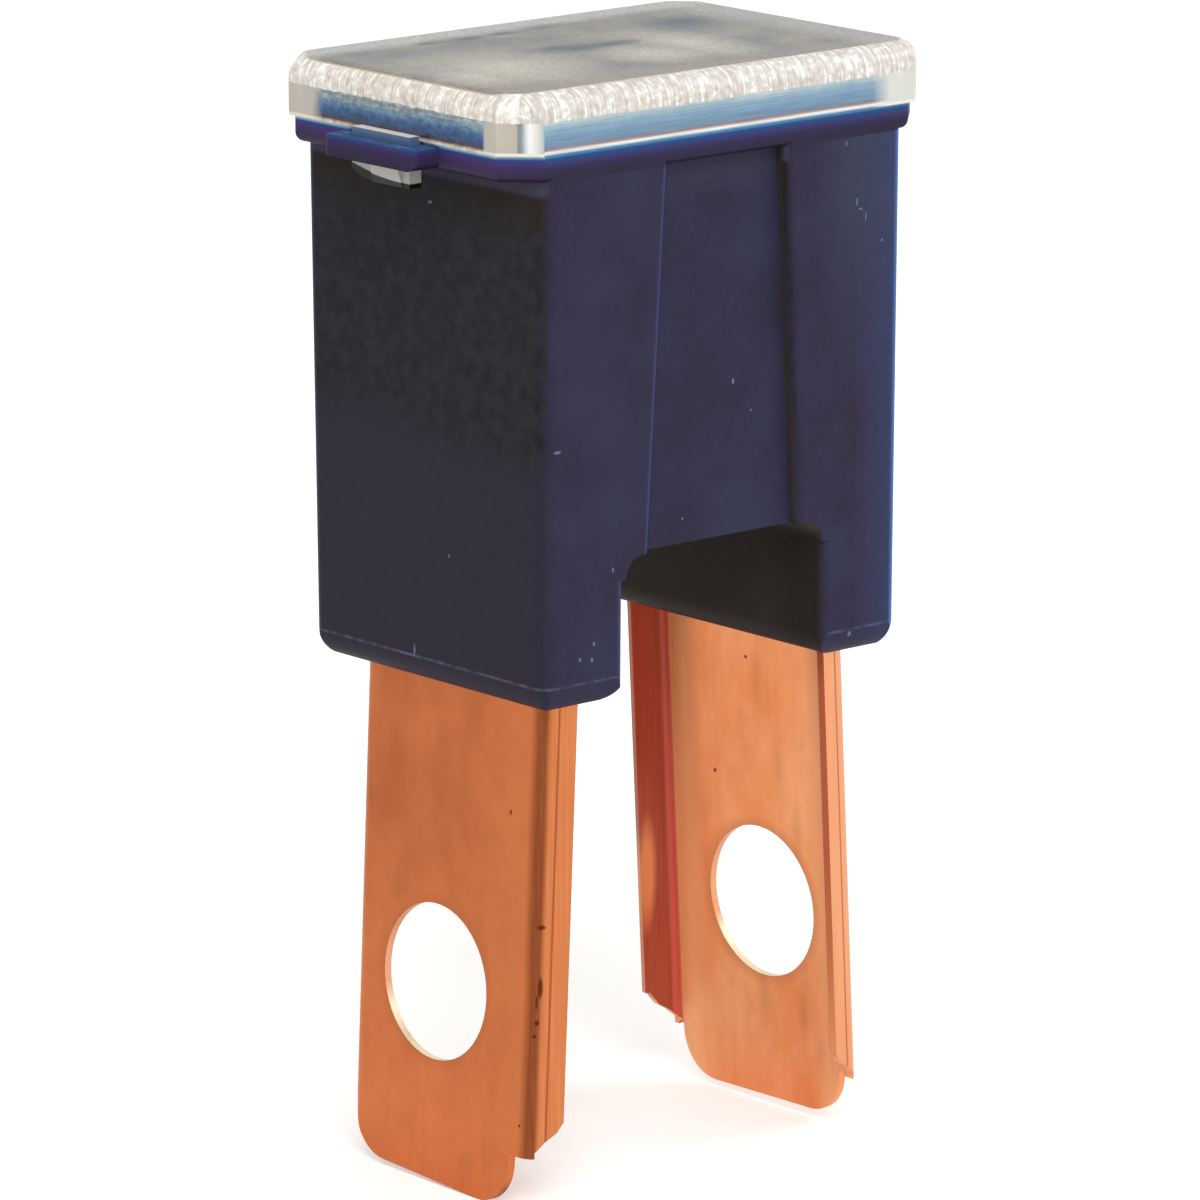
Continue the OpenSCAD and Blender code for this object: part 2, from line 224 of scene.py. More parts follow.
@dataclass(frozen=True)
class Mark:
    """A small mark: its middle and its half sizes along X, Y and Z, in millimetres."""

    place: Point
    reach: Point


@dataclass
class Coordinates:
    """Places on the part in millimetres, ready for patterns."""

    tree: Tree
    millimetres: Socket = field(init=False)
    parts: Node = field(init=False)
    facing: Node = field(init=False)

    def __post_init__(self) -> None:
        """Adds the nodes that read the place and the way the surface faces."""
        source = add(self.tree, "ShaderNodeTexCoord")
        links = {0: source.outputs["Object"], "Scale": 1 / MM}
        self.millimetres = add(self.tree, VECTOR, links, operation="SCALE").outputs[0]
        self.parts = add(self.tree, "ShaderNodeSeparateXYZ", {0: self.millimetres})
        self.facing = add(self.tree, "ShaderNodeSeparateXYZ", {0: source.outputs["Normal"]})

    def along(self, axis: Axis) -> Socket:
        """Gives the place along one axis, in millimetres."""
        return self.parts.outputs[axis.value]

    def away(self, axis: Axis) -> Socket:
        """Gives the distance from the middle along one axis, in millimetres."""
        return grey(self.tree, "ABSOLUTE", self.along(axis))

    def faces(self, axis: Axis) -> Socket:
        """Gives how far the surface faces along one axis, from minus one to one."""
        return self.facing.outputs[axis.value]

    def flat_to(self, axis: Axis) -> Socket:
        """Gives how far the surface faces along one axis either way, from nought to one."""
        return grey(self.tree, "ABSOLUTE", self.faces(axis))

    def outward(self, axis: Axis) -> Socket:
        """Gives a positive value where the surface faces away from the middle along one axis."""
        return grey(self.tree, "MULTIPLY", self.faces(axis), self.along(axis))

    def noise(
        self, size_mm: float | Point, detail: float = 3.0, roughness: float = 0.55
    ) -> Socket:
        """Gives a cloudy pattern of a real size.

        Args:
            size_mm: size of one patch, alike or different along X, Y and Z.
            detail: number of finer layers.
            roughness: strength of the finer layers.

        Returns:
            A value around a half.
        """
        sizes = size_mm if isinstance(size_mm, tuple) else (size_mm,) * 3
        scales = [1 / size for size in sizes]
        links = {0: self.millimetres, 1: scales}
        stretched = add(self.tree, VECTOR, links, operation="MULTIPLY")
        links = {"Vector": stretched.outputs[0], "Scale": 1.0}
        links |= {"Detail": detail, "Roughness": roughness}
        return add(self.tree, "ShaderNodeTexNoise", links).outputs[0]

    def wander(self, value: Socket, size_mm: float, reach: float) -> Socket:
        """Moves a value up and down by a cloudy pattern.

        Args:
            value: the value to move.
            size_mm: size of one patch of the pattern.
            reach: how far the value moves in all.

        Returns:
            The moved value.
        """
        shift = grey(self.tree, "MULTIPLY_ADD", self.noise(size_mm), reach, -reach / 2)
        return grey(self.tree, "ADD", value, shift)

    def band(self, axis: Axis, middle: float, half: float, soft: float) -> Socket:
        """Gives one within half of the middle along an axis, fading to nought over soft."""
        off = grey(self.tree, "ABSOLUTE", grey(self.tree, "SUBTRACT", self.along(axis), middle))
        return gate(self.tree, off, half + soft, half)

    def rise(self, axis: Axis, start: float, end: float) -> Socket:
        """Goes from nought at start to one at end along an axis, in millimetres."""
        return gate(self.tree, self.along(axis), start, end)

    def apart(self, axis: Axis, start: float, end: float) -> Socket:
        """Goes from nought to one by the distance from the middle, in millimetres."""
        return gate(self.tree, self.away(axis), start, end)

    def turned(self, axis: Axis, start: float, end: float) -> Socket:
        """Goes from nought to one by how far the surface faces along an axis."""
        return gate(self.tree, self.faces(axis), start, end)

    def square(self, axis: Axis, start: float, end: float) -> Socket:
        """Goes from nought to one by how far the surface faces along an axis either way."""
        return gate(self.tree, self.flat_to(axis), start, end)

    def leaving(self, axis: Axis, start: float, end: float) -> Socket:
        """Goes from nought to one by how far the surface faces away from the middle."""
        return gate(self.tree, self.outward(axis), start, end)

    def spots(self, *marks: Mark, hard: float = 0.4) -> Socket:
        """Gives one inside small ellipsoids, fading to nought at their edges.

        Args:
            marks: the ellipsoids.
            hard: share of each radius over which it fades.

        Returns:
            The fading value.
        """
        values = []
        for mark in marks:
            links = {0: self.millimetres, 1: mark.place}
            shift = add(self.tree, VECTOR, links, operation="SUBTRACT")
            links = {0: shift.outputs[0], 1: mark.reach}
            shrunk = add(self.tree, VECTOR, links, operation="DIVIDE")
            length = add(self.tree, VECTOR, {0: shrunk.outputs[0]}, operation="LENGTH")
            values.append(gate(self.tree, length.outputs["Value"], 1.0, 1.0 - hard))
        return most(self.tree, *values)


def bumped(tree: Tree, height: Socket, depth_mm: float, edge_mm: float) -> Socket:
    """Turns a height pattern into a surface normal, over slightly softened edges.

    Args:
        tree: the node tree to add to.
        height: the pattern, from nought to one.
        depth_mm: how deep the pattern goes.
        edge_mm: radius that the sharp edges are softened to.

    Returns:
        The normal.
    """
    soft = add(tree, "ShaderNodeBevel", {"Radius": edge_mm * MM}, samples=4)
    links = {"Strength": 1.0, "Distance": depth_mm * MM}
    links |= {"Height": height, "Normal": soft.outputs[0]}
    return add(tree, "ShaderNodeBump", links).outputs[0]


@dataclass(frozen=True)
class Finish:
    """A material, named for the real one it stands for."""

    name: str
    roughness: float
    ior: float = 1.5

    def build(self) -> bpy.types.Material:
        """Makes the material.

        Returns:
            The finished material.
        """
        material = bpy.data.materials.new(self.name)
        material.use_nodes = True
        tree = material.node_tree
        tree.nodes.clear()
        links = {"Roughness": self.roughness, "IOR": self.ior}
        shader = add(tree, "ShaderNodeBsdfPrincipled", links)
        add(tree, "ShaderNodeOutputMaterial", {0: shader.outputs[0]})
        self.dress(tree, shader, Coordinates(tree))
        return material

    def dress(self, tree: Tree, shader: Node, at: Coordinates) -> None:
        """Adds this material's own pattern.

        Args:
            tree: the material's node tree.
            shader: its surface shader.
            at: places on the part.
        """
        raise NotImplementedError


# Colours up the flange's wide and narrow faces and the loop, from the lower edge to the upper one:
# the blue that rises towards the top is a painted glow of light entering the thin plastic
FLANGE_WIDE: Stops = (
    (0.0, "2d283d"),
    (0.35, "302a41"),
    (0.51, "302b4e"),
    (0.66, "37355e"),
    (0.79, "344174"),
    (0.88, "2f4e88"),
    (0.94, "3763a0"),
    (1.0, "6aa3cf"),
)
FLANGE_NARROW: Stops = (
    (0.0, "392f49"),
    (0.5, "402f54"),
    (0.68, "44356a"),
    (0.83, "433c80"),
    (0.89, "3c4d8c"),
    (0.93, "5c8bb8"),
    (1.0, "b4dbe8"),
)
LOOP_SIDE: Stops = ((0.0, "30283d"), (0.55, "352b4b"), (0.8, "362f60"), (1.0, "33457c"))


@dataclass(frozen=True)
class MouldedPolyester(Finish):
    """Glass-filled polyester, injection moulded: almost black violet with a dull skin, blue where
    light enters the thin flange, the rim and the outer edges, and pale where it was knocked."""

    specular: float = 0.06
    flange_low: float = 42.54
    flange_high: float = 43.64
    loop_low: float = 42.64
    loop_high: float = 43.5
    loop_x: Span = (10.92, 10.96)
    flange_glow: float = 0.07
    flange_from_z: Span = (42.51, 42.56)
    crease: float = 22.14
    mottled_z: Span = (30.2, 32.0)
    shadow_z: Span = (39.8, 42.0)
    shadow_y: Span = (0.0, 4.0)
    shade_z: Span = (41.82, 42.02)
    notch_y: Span = (7.35, 7.1)
    notch_z: Span = (27.3, 26.7)
    notch_near_y: Span = (-3.8, -5.6)
    roof_z: Span = (24.0, 25.0)
    ceiling_z: Span = (34.0, 36.0)
    upper_x: Span = (4.6, 6.6)
    upper_z: Span = (34.0, 40.0)
    end_x: Span = (6.8, 9.6)
    recess_top_z: Span = (40.8, 42.5)
    recess_y: Span = (7.1, 6.9)
    outer_x: Span = (8.8, 9.1)
    rim_pale_z: Span = (44.49, 44.69)
    nicks: tuple[Mark, ...] = ()

    def body(self, tree: Tree, at: Coordinates) -> Socket:
        """Gives the colour of the body's faces.

        Args:
            tree: the material's node tree.
            at: places on the part.

        Returns:
            The colour.
        """
        wide = ramp(tree, at.noise(4.0, detail=4.0), [(0.35, "2f293d"), (0.65, "313148")])
        mottle = ramp(tree, at.noise(0.6, detail=4.0), [(0.35, "232025"), (0.65, "2c2a32")])
        high = gate(tree, at.wander(at.along(Axis.Z), size_mm=6.0, reach=4.5), *self.mottled_z)
        shadow = both(tree, at.rise(Axis.Z, *self.shadow_z), at.apart(Axis.Y, *self.shadow_y))
        # Painted light: a lighter strip just under the flange, set against the shade there, where
        # the flange's rounded lower edge reaches down
        shade = at.rise(Axis.Z, *self.shade_z)
        narrow = layered(tree, "2d2937", [(high, mottle), (shadow, "29221b"), (shade, "403b50")])
        side = at.square(Axis.X, 0.4, 0.9)
        notch = both(
            tree,
            at.leaving(Axis.X, 0.0, -1.0),
            at.apart(Axis.Y, *self.notch_y),
            at.square(Axis.X, 0.3, 0.8),
        )
        notch_side = both(tree, notch, at.rise(Axis.Z, *self.notch_z))
        inner = blend_colour(tree, at.rise(Axis.Y, *self.notch_near_y), "35302e", "2a2522")
        roof = both(tree, at.turned(Axis.Z, -0.3, -0.7), at.rise(Axis.Z, *self.roof_z))
        under = ramp(tree, at.noise(0.8, detail=4.0), [(0.35, "423931"), (0.65, "4f463d")])
        # Painted light on faces that look down under the flange, set against the shade there
        ceiling = both(tree, at.turned(Axis.Z, -0.15, -0.4), at.rise(Axis.Z, *self.ceiling_z))
        lit = both(tree, at.turned(Axis.X, 0.06, 0.45), at.turned(Axis.Y, -0.2, -0.45))
        lit_edge = both(tree, lit, at.rise(Axis.X, *self.outer_x))
        far_edge = both(tree, at.turned(Axis.Y, 0.1, 0.4), at.turned(Axis.X, -0.1, -0.4))
        upper = both(tree, at.rise(Axis.X, *self.upper_x), at.rise(Axis.Z, *self.upper_z))
        end = at.rise(Axis.X, *self.end_x)
        recess = at.apart(Axis.Y, *self.recess_y)
        # Painted light at the top of the recess, set against the shade under the flange
        recess_top = both(tree, at.rise(Axis.Z, *self.recess_top_z), recess)
        layers = [
            (upper, "373b50"),
            (end, "363d5e"),
            (recess_top, "3f3a50"),
            (side, narrow),
            (notch, "393539"),
            (notch_side, inner),
            (roof, under),
            (ceiling, "4d4863"),
            (lit, "36426f"),
            (lit_edge, "3f6ba6"),
            (far_edge, "332f55"),
        ]
        return layered(tree, wide, layers)

    def flange(self, tree: Tree, at: Coordinates) -> Socket:
        """Gives the colour of the flange and the latch loops: violet below and a painted blue glow
        of entering light at the top, a painted highlight in streaks on the loops' tops, and painted
        shade on the flange's underside.

        Args:
            tree: the material's node tree.
            at: places on the part.

        Returns:
            The colour.
        """
        height = at.rise(Axis.Z, self.flange_low, self.flange_high - self.flange_glow)
        wide = ramp(tree, height, FLANGE_WIDE)
        narrow = ramp(tree, height, FLANGE_NARROW)
        loop = ramp(tree, at.rise(Axis.Z, self.loop_low, self.loop_high), LOOP_SIDE)
        # Painted highlight: pale streaks on the loops' tops
        shine = at.noise((0.25, 1.4, 0.3), detail=4.0)
        loop_highlight = ramp(tree, shine, [(0.4, "2f4f7c"), (0.55, "3a5c88"), (0.68, "7a93ac")])
        loop = blend_colour(tree, at.turned(Axis.Z, 0.4, 0.8), loop, loop_highlight)
        layers = [
            (at.square(Axis.X, 0.4, 0.9), narrow),
            (at.apart(Axis.X, *self.loop_x), loop),
            # Painted shade on the flange's underside
            (at.turned(Axis.Z, -0.5, -0.9), "1c1724"),
        ]
        return layered(tree, wide, layers)

    def rim(self, tree: Tree, at: Coordinates) -> Socket:
        """Gives the colour of the rim: the painted blue of light that enters it, mottled on the
        narrow sides and paler in flow lines on the wide ones, with a painted highlight near its
        top.

        Args:
            tree: the material's node tree.
            at: places on the part.

        Returns:
            The colour.
        """
        mottle = at.noise((0.3, 0.3, 0.2), detail=4.0)
        narrow = ramp(tree, mottle, [(0.35, "163f74"), (0.5, "2a609f"), (0.7, "3d79b6")])
        # Flow lines are about 0.03 mm apart; drawn at 0.07 mm so that they show
        lines = at.noise((3.0, 0.3, 0.07))
        wide = ramp(tree, lines, [(0.3, "7ba9d4"), (0.5, "93bfe4"), (0.7, "b4d6f0")])
        # Painted highlight: a pale band near the rim's top
        level = at.wander(at.along(Axis.Z), size_mm=1.4, reach=0.3)
        pale = gate(tree, level, *self.rim_pale_z)
        layers = [(at.square(Axis.X, 0.4, 0.8), narrow), (both(tree, pale, 0.8), "96b0ba")]
        return layered(tree, wide, layers)

    def dress(self, tree: Tree, shader: Node, at: Coordinates) -> None:
        """Adds the colours of body, flange and rim, the worn crease, nicks and moulding grain.

        Args:
            tree: the material's node tree.
            shader: its surface shader.
            at: places on the part.
        """
        shader.inputs["Specular IOR Level"].default_value = self.specular
        worn = both(
            tree,
            at.band(Axis.Z, self.crease, half=0.03, soft=0.05),
            ramp(tree, at.noise(0.7), [(0.4, 0.1), (0.62, 0.5)]),
            at.leaving(Axis.X, -1.0, 0.0),
        )
        above_body = at.rise(Axis.Z, *self.flange_from_z)
        above_flange = at.rise(Axis.Z, self.flange_high, self.flange_high + SOFT)
        layers = [
            (above_body, self.flange(tree, at)),
            (above_flange, self.rim(tree, at)),
            (worn, "6a7088"),
        ]
        if self.nicks:
            layers.append((both(tree, at.spots(*self.nicks), 0.6), "76829c"))
        colour = layered(tree, self.body(tree, at), layers)
        # Moulding grain is about 0.02 mm; drawn at 0.16 and 0.1 mm so that it shows
        grain = ramp(tree, at.noise(0.16, detail=2.0), [(0.3, 0.82), (0.7, 1.0)])
        colour = blend_colour(tree, 0.8, colour, grain, "MULTIPLY")
        tree.links.new(colour, shader.inputs["Base Color"])
        skin = bumped(tree, at.noise(0.1, detail=2.0), depth_mm=0.006, edge_mm=0.08)
        tree.links.new(skin, shader.inputs["Normal"])


# Colours up the cover's narrow and wide walls, from the white lower edge to the rounded edge: the
# painted blue of the rim seen through them, paling towards the rounded edge
WALL_NARROW: Stops = (
    (0.0, "f4faf9"),
    (0.04, "fff4e6"),
    (0.085, "f0d7bc"),
    (0.12, "a3846f"),
    (0.16, "4c4550"),
    (0.26, "3c588a"),
    (0.41, "376296"),
    (0.56, "507eae"),
    (0.68, "80a8c6"),
    (0.8, "b0c5cf"),
    (0.93, "b8cad1"),
    (1.0, "cdd6d7"),
)
WALL_WIDE: Stops = (
    (0.0, "3f6ea3"),
    (0.045, "a4cde4"),
    (0.08, "f2fbff"),
    (0.12, "fff8f0"),
    (0.155, "d0a38c"),
    (0.2, "868999"),
    (0.26, "7d94ad"),
    (0.4, "779bb8"),
    (0.56, "83a7c4"),
    (0.71, "92b1c8"),
    (0.83, "a8c3cd"),
    (0.93, "c5d5dc"),
    (1.0, "d8dedc"),
)
# Painted sheen across a cut corner, from the wide side to the narrow one: a white highlight, then
# the pale light seen through the solid post
CORNER_SHEEN: Stops = (
    (0.0, "b4c2c8"),
    (0.08, "d6dadb"),
    (0.16, "efebe5"),
    (0.3, "ffffff"),
    (0.37, "e0e2e3"),
    (0.42, "b4c1c8"),
    (0.47, "8a9699"),
    (0.54, "858f90"),
    (0.57, "c6beb0"),
    (1.0, "c6beb0"),
)


@dataclass(frozen=True)
class ClearPolycarbonate(Finish):
    """Clear polycarbonate, injection moulded: walls painted with the blue of the rim behind them, a
    thick rounded edge painted with the light it gathers in fine upright flow lines, corner posts
    painted milky for the light seen through the solid plastic, a white lower edge and a top face
    dulled by handling."""

    specular: float = 0.3
    half_length: float = 11.095
    half_width: float = 7.825
    corner_cut: float = 1.35
    edge_radius: float = 0.9
    narrow_inset: float = 0.42
    base: float = 43.64
    wall_high: float = 45.0
    band_low: float = 44.95
    flow_z: Span = (43.94, 44.14)
    lines_z: Span = (44.45, 44.7)
    skin_depth: Span = (-0.12, -0.06)
    line_inner: Span = (-0.07, -0.03)
    line_outer: Span = (0.03, 0.0)
    near_post_y: Span = (5.68, 5.84)
    far_post_y: Span = (4.3, 5.0)
    right_post_x: Span = (7.5, 8.4)
    corner_x: Span = (9.745, 11.095)
    foot_z: float = 43.7
    tab_x: Span = (11.105, 11.125)
    tab_z: Span = (43.63, 43.6)
    tab_side_z: Span = (43.2, 43.3)
    tab_end_z: Span = (42.0, 41.96)
    sweep_lean: float = -0.086
    sweep_start: float = 1.8
    sweep_curve: float = -0.033
    front_y: Span = (-5.0, -6.2)
    rear_y: Span = (5.0, 6.0)
    end_x: Span = (7.6, 9.2)
    dulling: float = 0.3
    stains: tuple[Mark, ...] = ()
    worn: tuple[Mark, ...] = ()

    def outside(
        self, tree: Tree, at: Coordinates, inset: tuple[float, float], soft: float
    ) -> Socket:
        """Gives how far a place lies outside a line that runs round the cover, in millimetres.

        Args:
            tree: the material's node tree.
            at: places on the part.
            inset: how far the line lies inside the narrow and the wide sides.
            soft: how much the line's corners are rounded.

        Returns:
            The distance, below nought inside the line.
        """
        x, y = at.away(Axis.X), at.away(Axis.Y)
        slant = self.half_length + self.half_width - self.corner_cut - sum(inset) / math.sqrt(2)
        cut = grey(tree, "SUBTRACT", grey(tree, "ADD", x, y), slant)
        cut = grey(tree, "DIVIDE", cut, math.sqrt(2))
        ends = grey(tree, "SUBTRACT", x, self.half_length - inset[0])
        sides = grey(tree, "SUBTRACT", y, self.half_width - inset[1])
        joined = grey(tree, "SMOOTH_MAX", ends, cut, soft)
        return grey(tree, "SMOOTH_MAX", joined, sides, soft)

    def top(self, tree: Tree, at: Coordinates) -> Socket:
        """Gives the colour of the top face: grey and beige clouds, with fine grain.

        Args:
            tree: the material's node tree.
            at: places on the part.

        Returns:
            The colour.
        """
        clouds = at.noise(2.4, detail=4.0)
        clouds = ramp(tree, clouds, [(0.35, "7f8384"), (0.5, "908e87"), (0.65, "a09b90")])
        end = gate(tree, at.wander(at.along(Axis.X), size_mm=1.5, reach=0.8), *self.end_x)
        rear = gate(tree, at.wander(at.along(Axis.Y), size_mm=1.5, reach=0.6), *self.rear_y)
        layers = [
            (both(tree, at.spots(*self.worn, hard=0.95), 0.95), "d3ccbc"),
            (at.spots(*self.stains, hard=0.8), "4e5e68"),
            (both(tree, at.rise(Axis.Y, *self.front_y), 0.6), "a3978a"),
            (both(tree, end, 0.8), "b8b7b2"),
            (both(tree, rear, 0.85), "c6c8c3"),
        ]
        # The dulled skin's grain is about 0.05 mm; drawn at 0.16 mm so that it shows
        grain = ramp(tree, at.noise(0.16, detail=2.0), [(0.38, 0.52), (0.62, 1.0)])
        return blend_colour(tree, 0.6, layered(tree, clouds, layers), grain, "MULTIPLY")

    def edge(self, tree: Tree, at: Coordinates) -> Socket:
        """Gives the colour of the rounded edge: painted cream light that the thick edge gathers, in
        flow lines that run up and over it.

        Args:
            tree: the material's node tree.
            at: places on the part.

        Returns:
            The colour.
        """
        narrow_side = gate(tree, self.lean(tree, at), 0.0, 0.1)
        # Flow lines are about 0.13 mm wide and a few millimetres long, with clouds between them
        along = at.noise((0.13, 4.0, 2.0), detail=2.0)
        across = at.noise((4.0, 0.13, 2.0), detail=2.0)
        lines = grey(tree, "MULTIPLY", blend_colour(tree, narrow_side, along, across), 0.5)
        tone = grey(tree, "MULTIPLY_ADD", at.noise(0.3), 0.5, lines)
        wide = [(0.38, "bab2a8"), (0.47, "cbc5bd"), (0.54, "d6d2cc"), (0.6, "f6f4f0")]
        narrow = [(0.38, "c9bfb2"), (0.47, "ddd5ca"), (0.54, "eae5dc"), (0.6, "ffffff")]
        return blend_colour(tree, narrow_side, ramp(tree, tone, wide), ramp(tree, tone, narrow))

    def lean(self, tree: Tree, at: Coordinates) -> Socket:
        """Gives a positive value nearer to a narrow side than to a wide one."""
        gap = grey(tree, "SUBTRACT", at.away(Axis.X), at.away(Axis.Y))
        return grey(tree, "SUBTRACT", gap, self.half_length - self.half_width)

    def wall(self, tree: Tree, at: Coordinates) -> Socket:
        """Gives the colour of the side walls, from the white lower edge up to the rounded edge,
        with the rim's blue painted in as seen through them.

        Args:
            tree: the material's node tree.
            at: places on the part.

        Returns:
            The colour.
        """
        flow = at.wander(at.along(Axis.Z), size_mm=1.3, reach=0.32)
        flow = at.wander(flow, size_mm=0.25, reach=0.16)
        level = blend_colour(tree, at.rise(Axis.Z, *self.flow_z), at.along(Axis.Z), flow)
        height = gate(tree, level, self.base, self.wall_high)
        narrow = ramp(tree, height, WALL_NARROW)
        wide = ramp(tree, height, WALL_WIDE)
        speckle = at.noise((0.32, 0.32, 0.2), detail=4.0, roughness=0.7)
        speckle = ramp(tree, speckle, [(0.4, 0.5), (0.6, 1.0)])
        narrow = blend_colour(tree, 0.9, narrow, speckle, "MULTIPLY")
        # Flow lines are about 0.03 mm apart; drawn at 0.06 mm so that they show
        lines = ramp(tree, at.noise((2.5, 2.5, 0.06)), [(0.38, 0.7), (0.62, 1.0)])
        narrow = blend_colour(tree, at.rise(Axis.Z, *self.lines_z), narrow, lines, "MULTIPLY")
        wide = blend_colour(tree, 0.7, wide, lines, "MULTIPLY")
        return blend_colour(tree, at.square(Axis.X, 0.5, 0.8), wide, narrow)

    def posts(self, tree: Tree, at: Coordinates) -> tuple[Socket, Socket, Socket]:
        """Gives the corner posts, painted milky for the light seen through the solid plastic. Each
        hides one end of the rim, some more than others.

        Args:
            tree: the material's node tree.
            at: places on the part.

        Returns:
            The shares of the posts on the narrow sides, on the wide sides and on the cut corners.
        """
        to_x = at.square(Axis.X, 0.8, 0.95)
        to_y = at.square(Axis.Y, 0.8, 0.95)
        # How far a place lies towards one end of its side, alike on opposite sides
        turn_y = grey(tree, "MULTIPLY", at.outward(Axis.X), at.along(Axis.Y))
        turn_y = grey(tree, "MULTIPLY", turn_y, 1 / self.half_length)
        turn_x = grey(tree, "MULTIPLY", at.outward(Axis.Y), at.along(Axis.X))
        turn_x = grey(tree, "MULTIPLY", turn_x, 1 / self.half_width)
        near = both(tree, to_x, at.apart(Axis.Y, *self.near_post_y))
        far = both(tree, to_x, gate(tree, turn_y, *self.far_post_y))
        right = both(tree, to_y, gate(tree, turn_x, *self.right_post_x))
        slanted = both(tree, at.square(Axis.X, 0.4, 0.6), at.square(Axis.Y, 0.4, 0.6))
        return most(tree, near, far), right, slanted

    def tab_end(self, tree: Tree, at: Coordinates) -> Socket:
        """Gives the tab's lower end, which is thin and shows the dark body, along a swept line.

        Args:
            tree: the material's node tree.
            at: places on the part.

        Returns:
            The share.
        """
        sweep = grey(tree, "MULTIPLY", at.along(Axis.X), at.along(Axis.Y))
        sweep = grey(tree, "MULTIPLY", sweep, self.sweep_lean)
        sweep = grey(tree, "MAXIMUM", grey(tree, "ADD", sweep, self.sweep_start), 0.0)
        sweep = grey(tree, "POWER", sweep, 2.0)
        sweep = grey(tree, "MULTIPLY_ADD", sweep, self.sweep_curve, at.along(Axis.Z))
        return gate(tree, sweep, *self.tab_end_z)

    def dress(self, tree: Tree, shader: Node, at: Coordinates) -> None:
        """Adds the dulled top, the bright edge's painted light, the rim's blue painted on the walls
        as seen through them, the corner posts painted milky, and the tabs.

        Args:
            tree: the material's node tree.
            shader: its surface shader.
            at: places on the part.
        """
        shader.inputs["Specular IOR Level"].default_value = self.specular
        inside = self.outside(tree, at, (self.narrow_inset, self.edge_radius), soft=0.5)
        skin = gate(tree, self.outside(tree, at, (0.0, 0.0), soft=0.01), *self.skin_depth)
        ragged = at.wander(at.along(Axis.Z), size_mm=2.0, reach=0.14)
        ragged = at.wander(ragged, size_mm=0.3, reach=0.16)
        high = gate(tree, ragged, self.band_low - SOFT, self.band_low + SOFT)
        top = both(tree, high, gate(tree, inside, SOFT, -SOFT))
        edge = both(tree, high, gate(tree, inside, -SOFT, SOFT))
        inner, outer = (gate(tree, inside, *span) for span in (self.line_inner, self.line_outer))
        line = both(tree, high, inner, outer, 0.7)
        beyond = at.apart(Axis.X, *self.tab_x)
        tab = most(tree, at.rise(Axis.Z, *self.tab_z), beyond)
        tab_side = both(tree, tab, at.rise(Axis.Z, *self.tab_side_z))
        tab_top = both(tree, beyond, at.turned(Axis.Z, 0.4, 0.8))
        dark = both(tree, tab, self.tab_end(tree, at))
        narrow_posts, wide_posts, slanted = self.posts(tree, at)
        posts = both(tree, most(tree, narrow_posts, wide_posts, slanted), skin)
        foot = both(tree, posts, at.band(Axis.Z, self.foot_z, half=0.06, soft=0.03))
        # Painted highlight and pale light across the cut corners
        corner = ramp(tree, at.apart(Axis.X, *self.corner_x), CORNER_SHEEN)
        layers = [
            (skin, self.wall(tree, at)),
            # Corner posts painted pale for the light seen through the solid plastic
            (narrow_posts, "cbc5b9"),
            (wide_posts, "dedfd8"),
            (slanted, corner),
            (foot, "f6efe2"),
            (edge, self.edge(tree, at)),
            (top, self.top(tree, at)),
            (line, "e9cba6"),
            (tab, "c2bfba"),
            (dark, "050403"),
            (tab_side, "52698f"),
            (tab_top, "fbf3e6"),
        ]
        tree.links.new(layered(tree, "f7f6f2", layers), shader.inputs["Base Color"])
        # Clear walls look dim and grey in soft light, so a veil carries the colours seen in them
        veiled = ((edge, 0.9), (top, 0.85), (skin, 0.75), (tab, 0.75))
        veils = [both(tree, *pair) for pair in veiled]
        milky = most(tree, *veils, line, dark, tab_side, tab_top)
        clear = grey(tree, "SUBTRACT", 1.0, milky, clamp=True)
        tree.links.new(clear, shader.inputs["Transmission Weight"])
        dull = most(tree, top, edge, dark, both(tree, skin, 0.5))
        rough = grey(tree, "MULTIPLY_ADD", dull, self.dulling, self.roughness)
        tree.links.new(rough, shader.inputs["Roughness"])
        ripple = bumped(tree, at.noise(0.2, detail=2.0), depth_mm=0.004, edge_mm=0.05)
        tree.links.new(ripple, shader.inputs["Normal"])


